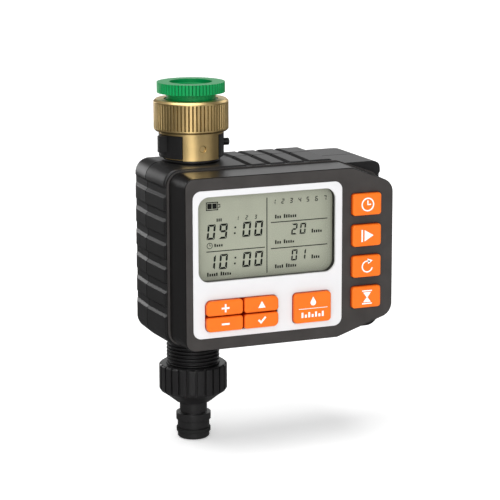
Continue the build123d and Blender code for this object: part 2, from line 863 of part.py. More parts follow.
switch_top = board_front - switch_height
for label, box, frame, corner in buttons:
    low_x = box[0] - (button_flange if box[0] == frame[0] else 0)
    low_z = box[1] - (button_flange if box[1] == frame[1] else 0)
    high_x = box[0] + box[2] + (button_flange if box[0] + box[2] > frame[0] + frame[2] - 0.01 else 0)
    high_z = box[1] + box[3] + (button_flange if box[1] + box[3] > frame[1] + frame[3] - 0.01 else 0)
    with BuildPart() as button:
        with BuildSketch(facing(button_back)) as cap_outline:
            with Locations(middle_of(frame)):
                RectangleRounded(frame[2], frame[3], corner)
            with Locations(middle_of(box)):
                Rectangle(box[2], box[3], mode=Mode.INTERSECT)
        extrude(amount=button_back - button_front)
        fillet(button.faces().sort_by(Axis.Y)[0].edges(), button_edge)
        with BuildSketch(facing(button_back)) as flange_outline:
            with Locations(middle_of(frame)):
                RectangleRounded(frame[2] + 2 * button_flange, frame[3] + 2 * button_flange, corner)
            with Locations(middle_of((low_x, low_z, high_x - low_x, high_z - low_z))):
                Rectangle(high_x - low_x, high_z - low_z, mode=Mode.INTERSECT)
        extrude(amount=button_flange_thickness)
        peg([middle_of(box)], post_radius, switch_top - switch_gap - button_travel, button_back)
    finish(button, label)


# ---- Electronics ----
board_left = face_left + board_left_margin
board_right = face_right - board_right_margin
board_bottom = face_bottom + board_low_margin
board_top = face_top - board_top_margin
with BuildPart() as control_board:
    board_middle = ((board_left + board_right) / 2, (board_bottom + board_top) / 2)
    block(*board_middle, board_right - board_left, board_top - board_bottom, board_back, board_front, 2.0)
    peg(posts, post_hole_radius + screw_clearance, board_back, board_front, Mode.SUBTRACT)
finish(control_board, "control_board")

with BuildPart() as tact_switches:
    for label, box, frame, corner in buttons:
        switch_x, switch_z = middle_of(box)
        block(switch_x, switch_z, switch_size, switch_size, board_front, board_front - switch_body_height)
        peg([(switch_x, switch_z)], 1.2, board_front - switch_body_height, switch_top)
finish(tact_switches, "tact_switches")

with BuildPart() as board_screws:
    peg(posts, post_radius + 0.2, board_back + 1.2, board_back)
    peg(posts, post_hole_radius - 0.05, board_back, board_front - 4.5)
finish(board_screws, "board_screws")

with BuildPart() as housing_screws:
    peg(bosses, screw_head_radius, head_seat + screw_head_height, head_seat)
    peg(bosses, screw_radius - 0.02, head_seat, bezel_inner_front + 2.5)
finish(housing_screws, "housing_screws")


# ---- Valve ----
chamber_bottom = chamber_top - chamber_height
seat_outlet_level = chamber_bottom - 4.0
inlet_floor = chamber_top - 9.0
neck_top_level = shell_top - skin - 0.1
neck_low_level = shell_bottom + skin + 0.1
ear_reach = ear_circle / 2**0.5
ears = [
    (chamber_offset + ear_reach * side_x, ear_reach * side_y)
    for side_x in (-1, 1)
    for side_y in (-1, 1)
]
with BuildPart() as valve_body:
    post(stub_radius, shell_top + stub_lift, stub_top)
    post(stub_radius + 1.8, shell_top + stub_lift, collar_bottom - 0.2)
    post(neck_radius, neck_top_level - 1, shell_top + 0.2)
    post(neck_flange_radius, neck_top_level - neck_flange_height, neck_top_level)
    post(pipe_radius, neck_low_level, neck_top_level)
    post(neck_flange_radius, neck_low_level, neck_low_level + neck_flange_height)
    post(neck_radius, shell_bottom - 0.2, neck_low_level + 1)
    post(three_quarter_radius - 0.2, shell_bottom - spigot_shoulder, shell_bottom - 0.1)
    post(three_quarter_radius - thread_depth, spigot_bottom, shell_bottom - spigot_shoulder)
    thread_ridges(three_quarter_radius, spigot_bottom, shell_bottom - spigot_shoulder)
    post(chamber_radius, chamber_bottom, chamber_top, chamber_offset)
    with BuildSketch(Plane.XY.offset(chamber_top)) as ear_outline:
        with Locations(*ears):
            Circle(ear_radius)
    extrude(amount=-chamber_height / 2)
    with BuildSketch(Plane.XY.offset(chamber_bottom)) as web:
        with Locations((chamber_offset / 2, 0)):
            Rectangle(chamber_offset, 13)
    extrude(amount=chamber_height)
    post(seat_radius, seat_outlet_level - seat_radius, chamber_bottom, chamber_offset)
    with BuildSketch(Plane.YZ) as cross_outline:
        with Locations((0, seat_outlet_level)):
            Circle(seat_radius - 1)
    extrude(amount=chamber_offset)
    with BuildSketch(Plane.XY.offset(chamber_top)) as annulus:
        with Locations((chamber_offset, 0)):
            Circle(chamber_radius - chamber_wall)
            Circle(seat_radius, mode=Mode.SUBTRACT)
    extrude(amount=-(chamber_height - 3), mode=Mode.SUBTRACT)
    post(seat_radius, chamber_top - seat_height, chamber_top, chamber_offset, mode=Mode.SUBTRACT)
    post(seat_bore, seat_outlet_level - seat_bore, chamber_top, chamber_offset, mode=Mode.SUBTRACT)
    post(water_radius, inlet_floor, stub_top, mode=Mode.SUBTRACT)
    post(water_radius, spigot_bottom, inlet_floor - 2.5, mode=Mode.SUBTRACT)
    with BuildSketch(Plane.YZ) as passages:
        with Locations((0, seat_outlet_level)):
            Circle(seat_bore - 1)
    extrude(amount=chamber_offset, mode=Mode.SUBTRACT)
    with BuildSketch(Plane.XY.offset(inlet_floor)) as slot:
        with Locations(((chamber_offset - seat_radius) / 2, 0)):
            Rectangle(chamber_offset - seat_radius - 4, 8)
    extrude(amount=5, mode=Mode.SUBTRACT)
    with BuildSketch(Plane.XY.offset(chamber_top)) as ear_holes:
        with Locations(*ears):
            Circle(screw_radius + 0.02)
    extrude(amount=-chamber_height / 2 + 1, mode=Mode.SUBTRACT)
    lock_low = lock_level - clip_rib_height / 2 - rib_clearance
    with BuildSketch(Plane.XY.offset(lock_low)) as lock_groove:
        Circle(stub_radius + 1)
        Circle(stub_radius - lock_groove_depth, mode=Mode.SUBTRACT)
    extrude(amount=clip_rib_height + 2 * rib_clearance, mode=Mode.SUBTRACT)
    with BuildSketch(Plane.XY.offset(o_ring_level - o_ring_section / 2 - 0.1)) as ring_groove:
        Circle(stub_radius + 1)
        Circle(stub_radius - o_ring_section + 0.4, mode=Mode.SUBTRACT)
    extrude(amount=o_ring_section + 0.2, mode=Mode.SUBTRACT)
finish(valve_body, "valve_body")

with BuildPart() as diaphragm:
    post(chamber_radius - 0.3, chamber_top, bonnet_bottom, chamber_offset)
finish(diaphragm, "diaphragm")

disc_bottom = bonnet_bottom + seat_gap
disc_top = disc_bottom + disc_thickness
with BuildPart() as diaphragm_disc:
    post(disc_radius, disc_bottom, disc_top, chamber_offset)
finish(diaphragm_disc, "diaphragm_disc")

cavity_top = bonnet_bottom + bonnet_cavity
with BuildPart() as valve_bonnet:
    post(chamber_radius, bonnet_bottom, bonnet_top, chamber_offset)
    with BuildSketch(Plane.XY.offset(bonnet_bottom)) as bonnet_ears:
        with Locations(*ears):
            Circle(ear_radius)
    extrude(amount=bonnet_height / 2)
    post(guide_radius, bonnet_top, guide_top, chamber_offset)
    post(chamber_radius - chamber_wall, bonnet_bottom, cavity_top, chamber_offset, mode=Mode.SUBTRACT)
    post(guide_bore, plunger_bottom - 0.1, guide_top, chamber_offset, mode=Mode.SUBTRACT)
    post(orifice_radius, cavity_top, guide_top, chamber_offset, mode=Mode.SUBTRACT)
    with BuildSketch(Plane.XY.offset(bonnet_bottom)) as bonnet_holes:
        with Locations(*ears):
            Circle(screw_radius + screw_clearance)
    extrude(amount=bonnet_height, mode=Mode.SUBTRACT)
    with BuildSketch(Plane.XY.offset(bonnet_bottom + bonnet_height / 2)) as head_holes:
        with Locations(*ears):
            Circle(screw_head_radius + screw_clearance)
    extrude(amount=bonnet_height, mode=Mode.SUBTRACT)
finish(valve_bonnet, "valve_bonnet")

with BuildPart() as bonnet_screws:
    for screw_x, screw_y in ears:
        post(screw_radius - 0.02, chamber_top - 4, bonnet_bottom + bonnet_height / 2, screw_x, screw_y)
        post(screw_head_radius, bonnet_bottom + bonnet_height / 2, bonnet_top, screw_x, screw_y)
finish(bonnet_screws, "bonnet_screws")


def coils(radius, wire, bottom, top, count):
    """Rings that stand for the turns of an upright spring."""
    step = (top - bottom - wire) / (count - 1)
    with BuildSketch(Plane.XZ) as turns:
        levels = [bottom + wire / 2 + step * turn for turn in range(count)]
        with Locations(*[(chamber_offset + radius, level) for level in levels]):
            Circle(wire / 2)
    revolve(turns.sketch, axis=Axis((chamber_offset, 0, 0), (0, 0, 1)))


with BuildPart() as diaphragm_spring:
    coils(5.5, 0.6, disc_top, cavity_top, 4)
finish(diaphragm_spring, "diaphragm_spring")

coil_bottom = bonnet_top + yoke_thickness
coil_top = coil_bottom + coil_height
core_bottom = coil_top - core_length
with BuildPart() as plunger:
    post(plunger_radius, plunger_bottom, plunger_top, chamber_offset)
    chamfer(plunger.edges().sort_by(Axis.Z)[0], 1.2)
finish(plunger, "plunger")

with BuildPart() as plunger_spring:
    coils(2.4, 0.5, plunger_top, core_bottom, 6)
finish(plunger_spring, "plunger_spring")

with BuildPart() as solenoid_coil:
    ring(coil_radius, coil_bore, coil_bottom, coil_top, chamber_offset)
    ring(coil_radius + 0.8, coil_bore, coil_bottom, coil_bottom + 1.2, chamber_offset)
    ring(coil_radius + 0.8, coil_bore, coil_top - 1.2, coil_top, chamber_offset)
finish(solenoid_coil, "solenoid_coil")

yoke_reach = coil_radius + 0.9
with BuildPart() as solenoid_frame:
    with BuildSketch(facing(yoke_width / 2)) as yoke_outline:
        with Locations((chamber_offset - yoke_thickness / 2, (bonnet_top + coil_top + yoke_thickness) / 2)):
            Rectangle(2 * yoke_reach + yoke_thickness, coil_height + 2 * yoke_thickness)
        with Locations((chamber_offset + 2, (coil_bottom + coil_top) / 2)):
            Rectangle(2 * yoke_reach + 4, coil_height, mode=Mode.SUBTRACT)
    extrude(amount=yoke_width)
    post(guide_radius + 0.1, bonnet_top, coil_bottom, chamber_offset, mode=Mode.SUBTRACT)
    post(plunger_radius, core_bottom, coil_top + 0.5, chamber_offset)
finish(solenoid_frame, "solenoid_frame")


def wires(points, spacing):
    """A pair of insulated wires through the given points, with rounded bends."""
    for side in (-1, 1):
        route = [(x + side * spacing / 2, y, z) for x, y, z in points]
        with BuildLine() as path:
            FilletPolyline(*route, radius=3)
        with BuildSketch(Plane(origin=route[0], z_dir=Vector(*route[1]) - Vector(*route[0]))) as section:
            Circle(wire_radius)
        sweep(section.sketch, path=path.line)


coil_front = -coil_radius
coil_middle = (coil_bottom + coil_top) / 2
with BuildPart() as solenoid_leads:
    wires(
        [
            (chamber_offset, coil_front, coil_middle),
            (chamber_offset, coil_front - 9, coil_middle),
            (chamber_offset - 6, (coil_front + board_back) / 2 - 4, coil_middle + 6),
            (chamber_offset - 6, board_back, coil_middle + 6),
        ],
        2 * wire_radius + 0.6,
    )
finish(solenoid_leads, "solenoid_leads")


# ---- Batteries ----
holder_back = pad_front
cell_low = cells_z - holder_height / 2 + contact_room
cell_high = cell_low + cell_length
with BuildPart() as battery_holder:
    tray_width = holder_width + 2 * holder_wall
    tray_height = holder_height + 2 * holder_wall
    tray_floor = holder_front + holder_wall
    block(cells_x, cells_z, tray_width, tray_height, holder_back, holder_front)
    block(cells_x, cells_z, holder_width, holder_height, holder_back + 1, tray_floor, mode=Mode.SUBTRACT)
    block(cells_x, cells_z, 0.9, cell_length * 0.7, cells_y - 2, holder_front)
finish(battery_holder, "battery_holder")

with BuildPart() as aa_cells:
    for side in (-1, 1):
        cell_x = cells_x + side * cell_pitch / 2
        low = cell_low if side < 0 else cell_low + cell_nub_length
        nub_low = low + cell_length if side < 0 else cell_low
        post(cell_radius, low, low + cell_length, cell_x, cells_y)
        post(cell_nub_radius, nub_low, nub_low + cell_nub_length, cell_x, cells_y)
finish(aa_cells, "aa_cells")

holder_low = cells_z - holder_height / 2
holder_high = cells_z + holder_height / 2
with BuildPart() as battery_contacts:
    for side in (-1, 1):
        cell_x = cells_x + side * cell_pitch / 2
        with BuildSketch(Plane.XY.offset(holder_low)) as low_plate:
            with Locations((cell_x, cells_y)):
                Rectangle(10, 9)
        extrude(amount=contact_thickness)
        with BuildSketch(Plane.XY.offset(holder_high)) as high_plate:
            with Locations((cell_x, cells_y)):
                Rectangle(10, 9)
        extrude(amount=-contact_thickness)
        spring_low = holder_low + contact_thickness if side < 0 else holder_high - contact_room
        spring_room = contact_room - contact_thickness
        post(3.2, spring_low, spring_low + spring_room, cell_x, cells_y)
        tab_low = holder_high - contact_room if side < 0 else holder_low + contact_thickness
        post(1.6, tab_low, tab_low + spring_room, cell_x, cells_y)
finish(battery_contacts, "battery_contacts")

with BuildPart() as battery_leads:
    lead_x = cells_x - holder_width / 2 + 3
    wires(
        [
            (lead_x, holder_front, middle_z + 8),
            (lead_x, holder_front - 9, middle_z + 8),
            (lead_x - 6, (holder_front + board_back) / 2 - 4, middle_z + 2),
            (lead_x - 6, board_back, middle_z + 2),
        ],
        2 * wire_radius + 0.6,
    )
finish(battery_leads, "battery_leads")

cover_inner = rear_back - cover_thickness
plug_inset = 0.3
with BuildPart() as battery_cover:
    cover_shape(rear_back, cover_inner, 0, Mode.ADD)
    plug_width = holder_width - 2 * plug_inset
    plug_height = holder_height - 2 * plug_inset
    block(cells_x, cells_z, plug_width, plug_height, cover_inner, cover_inner - 1.2)
    hollow_width = plug_width - 2.4
    hollow_height = plug_height - 2.4
    block(cells_x, cells_z, hollow_width, hollow_height, cover_inner, cover_inner - 1.3, mode=Mode.SUBTRACT)
    extrude(seal_track(cover_inner), amount=-seal_height, mode=Mode.SUBTRACT)
    peg(cover_screw_places, cover_screw_radius + 0.1, rear_back, cover_inner, Mode.SUBTRACT)
    peg(cover_screw_places, cover_screw_head + 0.1, rear_back, rear_back - 1.0, Mode.SUBTRACT)
finish(battery_cover, "battery_cover")

with BuildPart() as battery_cover_seal:
    extrude(seal_track(cover_inner), amount=-seal_height)
finish(battery_cover_seal, "battery_cover_seal")

with BuildPart() as battery_cover_screws:
    peg(cover_screw_places, cover_screw_head, rear_back, rear_back - 1.0)
    peg(cover_screw_places, cover_screw_radius, rear_back - 1.0, rear_back - cover_screw_length)
finish(battery_cover_screws, "battery_cover_screws")


# ---- Outlet ----
nut_floor = outlet_nut_top - nut_thread_depth
with BuildPart() as outlet_washer:
    ring(three_quarter_radius - 0.4, washer_hole_radius, nut_floor, nut_floor + washer_thickness)
finish(outlet_washer, "outlet_washer")

with BuildPart() as outlet_connector:
    with BuildSketch(Plane.XZ) as connector_profile:
        with BuildLine():
            Polyline(
                (nipple_bore, tip_bottom),
                (nipple_radius - 0.8, tip_bottom),
                (nipple_radius, tip_bottom + 0.8),
                (nipple_radius, seat_bottom),
                (nipple_radius - 0.9, seat_bottom),
                (nipple_radius - 0.9, waist_bottom),
                (nipple_radius, waist_bottom),
                (nipple_radius, ring_bottom),
                (nipple_ring_radius, ring_bottom),
                (nipple_ring_radius, neck_bottom),
                (nipple_neck_radius, neck_bottom),
                (nipple_neck_radius, cone_bottom + 0.8),
                (nipple_ring_radius, cone_bottom + 0.8),
                (outlet_nut_radius - 3.2, outlet_nut_bottom - 1.6),
                (outlet_nut_radius - 0.8, outlet_nut_bottom),
                (outlet_nut_radius, outlet_nut_bottom + 1.2),
                (outlet_nut_radius, outlet_nut_top - 0.8),
                (outlet_nut_radius - 0.8, outlet_nut_top),
                (three_quarter_radius + thread_clearance, outlet_nut_top),
                (three_quarter_radius + thread_clearance, nut_floor),
                (nipple_bore, nut_floor),
                close=True,
            )
        make_face()
    revolve(axis=Axis.Z)
    with BuildSketch(Plane.XY.offset(outlet_nut_bottom - 1.6)) as rib_grooves:
        with PolarLocations(outlet_nut_radius, rib_count):
            Rectangle(2 * rib_groove_depth, rib_groove_width)
    extrude(amount=outlet_nut_height + 3, mode=Mode.SUBTRACT)
finish(outlet_connector, "outlet_connector")

with BuildPart() as nipple_o_ring:
    ring(nipple_ring_radius - 0.1, nipple_radius - 0.9, seat_bottom + 0.05, waist_bottom - 0.05)
finish(nipple_o_ring, "nipple_o_ring")
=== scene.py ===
import json
import math

import bmesh
import bpy
from mathutils import Matrix, Vector


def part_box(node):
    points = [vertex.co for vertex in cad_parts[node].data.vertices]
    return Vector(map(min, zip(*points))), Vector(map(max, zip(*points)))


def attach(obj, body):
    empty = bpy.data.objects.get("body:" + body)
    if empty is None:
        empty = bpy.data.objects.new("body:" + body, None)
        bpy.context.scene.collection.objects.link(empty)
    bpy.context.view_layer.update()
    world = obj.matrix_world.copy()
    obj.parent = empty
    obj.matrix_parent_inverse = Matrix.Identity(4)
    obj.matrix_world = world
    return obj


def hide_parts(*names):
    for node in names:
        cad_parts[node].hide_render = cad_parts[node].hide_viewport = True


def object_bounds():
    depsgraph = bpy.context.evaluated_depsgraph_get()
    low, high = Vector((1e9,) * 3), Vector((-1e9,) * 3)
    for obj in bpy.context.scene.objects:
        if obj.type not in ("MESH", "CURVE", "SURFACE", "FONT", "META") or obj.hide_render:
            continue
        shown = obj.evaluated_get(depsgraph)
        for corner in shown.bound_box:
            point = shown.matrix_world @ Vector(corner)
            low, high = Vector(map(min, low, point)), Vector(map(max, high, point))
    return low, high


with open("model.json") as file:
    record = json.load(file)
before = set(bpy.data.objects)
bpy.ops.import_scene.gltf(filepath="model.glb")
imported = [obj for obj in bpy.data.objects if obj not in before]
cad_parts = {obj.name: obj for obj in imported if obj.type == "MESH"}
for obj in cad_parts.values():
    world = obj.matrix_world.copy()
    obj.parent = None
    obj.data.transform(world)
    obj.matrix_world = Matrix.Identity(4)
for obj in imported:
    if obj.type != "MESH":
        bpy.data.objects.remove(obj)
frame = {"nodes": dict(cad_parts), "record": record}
cad_low, cad_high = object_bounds()
MM = 0.001
scene = bpy.context.scene


# ---- Materials ----
PATCH_SCALE = 90.0
GRAIN_SCALE = 2600.0
GRAIN_HEIGHT = 0.05
FRONT_FACING = (-0.94, -0.8)


def link(tree, a, b):
    tree.links.new(a, b)


def finish_material(name, colour, roughness, metallic=0.0, tone=0.12, relief=0.12, rough_spread=0.08,
                    edge=0.35, edge_highlight=0.25, specular=0.5, gap_shade=None, reach=1.0):
    """A finish with uneven tone and gloss, fine grain, rounded edges with a painted highlight along them,
    and painted shade in narrow gaps.
    """
    mat = bpy.data.materials.new(name)
    mat.use_nodes = True
    tree = mat.node_tree
    nodes = tree.nodes
    shader = nodes["Principled BSDF"]
    shader.inputs["Metallic"].default_value = metallic
    shader.inputs["Specular IOR Level"].default_value = specular
    place = nodes.new("ShaderNodeTexCoord")
    wide = nodes.new("ShaderNodeTexNoise")
    wide.inputs["Scale"].default_value = PATCH_SCALE
    wide.inputs["Detail"].default_value = 4.0
    link(tree, place.outputs["Object"], wide.inputs["Vector"])
    fine = nodes.new("ShaderNodeTexNoise")
    fine.inputs["Scale"].default_value = GRAIN_SCALE
    fine.inputs["Detail"].default_value = 3.0
    link(tree, place.outputs["Object"], fine.inputs["Vector"])
    ramp = nodes.new("ShaderNodeValToRGB")
    ramp.color_ramp.elements[0].position = 0.3
    ramp.color_ramp.elements[1].position = 0.7
    ramp.color_ramp.elements[0].color = (*[c * (1 - tone) for c in colour], 1)
    ramp.color_ramp.elements[1].color = (*[min(1, c * (1 + tone)) for c in colour], 1)
    link(tree, wide.outputs["Fac"], ramp.inputs["Fac"])
    gloss = nodes.new("ShaderNodeMapRange")
    gloss.inputs["To Min"].default_value = roughness - rough_spread
    gloss.inputs["To Max"].default_value = roughness + rough_spread
    link(tree, fine.outputs["Fac"], gloss.inputs["Value"])
    link(tree, gloss.outputs["Result"], shader.inputs["Roughness"])
    corner = nodes.new("ShaderNodeBevel")
    corner.samples = 4
    corner.inputs["Radius"].default_value = edge * MM
    bump = nodes.new("ShaderNodeBump")
    bump.inputs["Strength"].default_value = relief
    bump.inputs["Distance"].default_value = GRAIN_HEIGHT * MM
    link(tree, fine.outputs["Fac"], bump.inputs["Height"])
    link(tree, corner.outputs["Normal"], bump.inputs["Normal"])
    link(tree, bump.outputs["Normal"], shader.inputs["Normal"])
    # Painted highlight: edges are a little paler where the rounded normal leaves the true one.
    flat = nodes.new("ShaderNodeNewGeometry")
    turn = nodes.new("ShaderNodeVectorMath")
    turn.operation = "DOT_PRODUCT"
    link(tree, corner.outputs["Normal"], turn.inputs[0])
    link(tree, flat.outputs["True Normal"], turn.inputs[1])
    edge_highlight_mask = nodes.new("ShaderNodeMapRange")
    edge_highlight_mask.inputs["From Min"].default_value = 1.0
    edge_highlight_mask.inputs["From Max"].default_value = 0.8
    edge_highlight_mask.inputs["To Min"].default_value = 0.0
    edge_highlight_mask.inputs["To Max"].default_value = edge_highlight
    link(tree, turn.outputs["Value"], edge_highlight_mask.inputs["Value"])
    mix = nodes.new("ShaderNodeMix")
    mix.data_type = "RGBA"
    mix.inputs["B"].default_value = (*[min(1, c * 1.6 + 0.05) for c in colour], 1)
    link(tree, edge_highlight_mask.outputs["Result"], mix.inputs["Factor"])
    link(tree, ramp.outputs["Color"], mix.inputs["A"])
    if gap_shade is None:
        link(tree, mix.outputs["Result"], shader.inputs["Base Color"])
        return mat
    # Painted shade: narrow gaps and grooves are darkened toward the given shade colour.
    gap = nodes.new("ShaderNodeAmbientOcclusion")
    gap.samples = 6
    gap.inputs["Distance"].default_value = reach * MM
    shade_mask = nodes.new("ShaderNodeMapRange")
    shade_mask.inputs["From Min"].default_value = 0.35
    shade_mask.inputs["From Max"].default_value = 0.9
    link(tree, gap.outputs["AO"], shade_mask.inputs["Value"])
    blend = nodes.new("ShaderNodeMix")
    blend.data_type = "RGBA"
    blend.inputs["A"].default_value = (*gap_shade, 1)
    link(tree, shade_mask.outputs["Result"], blend.inputs["Factor"])
    link(tree, mix.outputs["Result"], blend.inputs["B"])
    link(tree, blend.outputs["Result"], shader.inputs["Base Color"])
    return mat


def clear_material(name):
    """Clear plastic: light passes straight through, with a soft reflection."""
    mat = bpy.data.materials.new(name)
    mat.use_nodes = True
    tree = mat.node_tree
    nodes = tree.nodes
    nodes.remove(nodes["Principled BSDF"])
    through = nodes.new("ShaderNodeBsdfTransparent")
    shine = nodes.new("ShaderNodeBsdfGlossy")
    shine.inputs["Roughness"].default_value = 0.06
    mix = nodes.new("ShaderNodeMixShader")
    mix.inputs[0].default_value = 0.035
    link(tree, through.outputs[0], mix.inputs[1])
    link(tree, shine.outputs[0], mix.inputs[2])
    link(tree, mix.outputs[0], nodes["Material Output"].inputs["Surface"])
    return mat


def front_and_shaded_sides_material(name, front_colour, shaded_side_colour, front_roughness, side_roughness, specular):
    """Grained and paler on the faces that look toward -Y; polished on the others, which are also painted
    darker as shade.
    """
    mat = finish_material(name, front_colour, front_roughness, specular=specular, edge_highlight=0.0, relief=0.2)
    tree = mat.node_tree
    nodes = tree.nodes
    shader = nodes["Principled BSDF"]
    front = shader.inputs["Base Color"].links[0].from_socket
    place = nodes.new("ShaderNodeTexCoord")
    split = nodes.new("ShaderNodeSeparateXYZ")
    link(tree, place.outputs["Normal"], split.inputs["Vector"])
    facing = nodes.new("ShaderNodeMapRange")
    facing.inputs["From Min"].default_value = FRONT_FACING[0]
    facing.inputs["From Max"].default_value = FRONT_FACING[1]
    link(tree, split.outputs["Y"], facing.inputs["Value"])
    # Painted shade: faces turned away from -Y take the darker side colour.
    tint = nodes.new("ShaderNodeMix")
    tint.data_type = "RGBA"
    link(tree, facing.outputs["Result"], tint.inputs["Factor"])
    link(tree, front, tint.inputs["A"])
    tint.inputs["B"].default_value = (*shaded_side_colour, 1)
    link(tree, tint.outputs["Result"], shader.inputs["Base Color"])
    gloss = nodes.new("ShaderNodeMapRange")
    gloss.inputs["From Min"].default_value = FRONT_FACING[0]
    gloss.inputs["From Max"].default_value = FRONT_FACING[1]
    gloss.inputs["To Min"].default_value = front_roughness
    gloss.inputs["To Max"].default_value = side_roughness
    link(tree, split.outputs["Y"], gloss.inputs["Value"])
    link(tree, gloss.outputs["Result"], shader.inputs["Roughness"])
    return mat


BLACK = (0.0105, 0.0102, 0.0104)
# The colour painted as shade in gaps, grooves and along the shell seam.
SHADE_BLACK = (0.001, 0.001, 0.001)
# The dark colours given for gaps below are painted shade: housing, nozzle, buttons, reducer and brass go
# darker in their gaps and grooves.
mats = {
    "black_plastic": finish_material("housing_black", BLACK, 0.36, specular=0.4, edge=0.35, edge_highlight=0.12,
                                     relief=0.08, gap_shade=SHADE_BLACK, reach=2.4),
    "nozzle_plastic": finish_material("nozzle_black", (0.013, 0.0125, 0.013), 0.34, specular=0.5, edge=0.4,
                                      edge_highlight=0.12, relief=0.08, gap_shade=SHADE_BLACK),
    # The bezel's front is grained and paler; its sides are polished and painted darker as shade.
    "face_plastic": front_and_shaded_sides_material("face_black", (0.046, 0.042, 0.04), (0.006, 0.0055, 0.0055),
                                        0.52, 0.3, 0.25),
    "white_plastic": finish_material("white_panel", (0.7, 0.7, 0.71), 0.4, specular=0.3, tone=0.01,
                                     edge_highlight=0.0),
    "orange_plastic": finish_material("button_orange", (0.86, 0.165, 0.009), 0.42, specular=0.22, tone=0.05,
                                      edge=0.2, edge_highlight=0.0, gap_shade=(0.5, 0.012, 0.0), reach=3.2),
    "clear_window": clear_material("display_clear"),
    "lcd": finish_material("lcd_glass", (0.36, 0.375, 0.297), 0.5, specular=0.1, tone=0.03, edge_highlight=0.0,
                           relief=0.03),
    "green_plastic": finish_material("reducer_green", (0.0, 0.29, 0.075), 0.36, specular=0.2, tone=0.08,
                                     edge_highlight=0.15, gap_shade=(0.0, 0.10, 0.025)),
    "brass": finish_material("brass", (0.8, 0.58, 0.26), 0.36, metallic=1.0, tone=0.12, rough_spread=0.1,
                             edge=0.2, edge_highlight=0.3, gap_shade=(0.13, 0.07, 0.015), reach=0.7),
    "rubber": finish_material("rubber", (0.012, 0.012, 0.012), 0.6, specular=0.2),
    "circuit_board": finish_material("circuit_board", (0.02, 0.13, 0.05), 0.4),
    "steel": finish_material("steel", (0.6, 0.6, 0.6), 0.3, metallic=1.0),
    "coil_wrap": finish_material("coil_tape", (0.55, 0.25, 0.04), 0.45),
    "wire": finish_material("wire_red", (0.6, 0.03, 0.02), 0.4),
    "cell": finish_material("cell_sleeve", (0.05, 0.07, 0.09), 0.3, metallic=0.3),
}


def seam_material(name, half_width, blur):
    """The housing's black, with a painted shade line where its two shells meet, at depth 0."""
    mat = finish_material(name, BLACK, 0.38, specular=0.4, edge=0.6, edge_highlight=0.12, relief=0.08,
                          gap_shade=SHADE_BLACK, reach=2.4)
    tree = mat.node_tree
    nodes = tree.nodes
    shader = nodes["Principled BSDF"]
    skin = shader.inputs["Base Color"].links[0].from_socket
    sheen = shader.inputs["Roughness"].links[0].from_socket
    place = nodes.new("ShaderNodeTexCoord")
    split = nodes.new("ShaderNodeSeparateXYZ")
    link(tree, place.outputs["Object"], split.inputs["Vector"])
    away = nodes.new("ShaderNodeMath")
    away.operation = "ABSOLUTE"
    link(tree, split.outputs["Y"], away.inputs[0])
    # Painted shade: near depth 0 the colour goes to the shade black and the gloss dulls.
    line = nodes.new("ShaderNodeMapRange")
    line.inputs["From Min"].default_value = half_width * MM
    line.inputs["From Max"].default_value = (half_width + blur) * MM
    link(tree, away.outputs["Value"], line.inputs["Value"])
    tint = nodes.new("ShaderNodeMix")
    tint.data_type = "RGBA"
    tint.inputs["A"].default_value = (*SHADE_BLACK, 1)
    link(tree, line.outputs["Result"], tint.inputs["Factor"])
    link(tree, skin, tint.inputs["B"])
    link(tree, tint.outputs["Result"], shader.inputs["Base Color"])
    dull = nodes.new("ShaderNodeMix")
    dull.inputs["A"].default_value = 1.0
    link(tree, line.outputs["Result"], dull.inputs["Factor"])
    link(tree, sheen, dull.inputs["B"])
    link(tree, dull.outputs["Result"], shader.inputs["Roughness"])
    return mat


slot_of = {row["node"]: row["material_slot"] for row in frame["record"]["subparts"]}
shell_black = seam_material("shell_black", 0.28, 0.12)
for node, obj in frame["nodes"].items():
    obj.data.materials.clear()
    material = shell_black if node in ("rear_housing", "mid_housing") else mats[slot_of[node]]
    obj.data.materials.append(material)


# ---- Mesh helpers ----
def show(name, bm, material, body, smooth_angle=32):
    """Turn a bmesh into a piece that rides on a body."""
    bmesh.ops.recalc_face_normals(bm, faces=bm.faces)
    made = bpy.data.meshes.new(name)
    bm.to_mesh(made)
    bm.free()
    made.shade_smooth()
    made.set_sharp_from_angle(angle=math.radians(smooth_angle))
    made.materials.append(material)
    obj = bpy.data.objects.new(name, made)
    scene.collection.objects.link(obj)
    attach(obj, body)
    return obj


def prisms(name, polygons, back, front, material, body):
    """Flat shapes in X and Z, in mm, made solid between two depths in metres."""
    bm = bmesh.new()
    for polygon in polygons:
        near = [bm.verts.new((x * MM, front, z * MM)) for x, z in polygon]
        far = [bm.verts.new((x * MM, back, z * MM)) for x, z in polygon]
        bm.faces.new(near)
        bm.faces.new(far[::-1])
        for k in range(len(near)):
            n = (k + 1) % len(near)
            bm.faces.new((near[n], near[k], far[k], far[n]))
    return show(name, bm, material, body)


def loft(name, loops, material, body, smooth_angle=32):
    """Closed skin through loops of equal length, capped at both ends."""
    bm = bmesh.new()
    rows = [[bm.verts.new(p) for p in loop] for loop in loops]
    for a, b in zip(rows, rows[1:]):
        for k in range(len(a)):
            n = (k + 1) % len(a)
            bm.faces.new((a[k], a[n], b[n], b[k]))
    bm.faces.new(rows[0][::-1])
    bm.faces.new(rows[-1])
    return show(name, bm, material, body, smooth_angle)


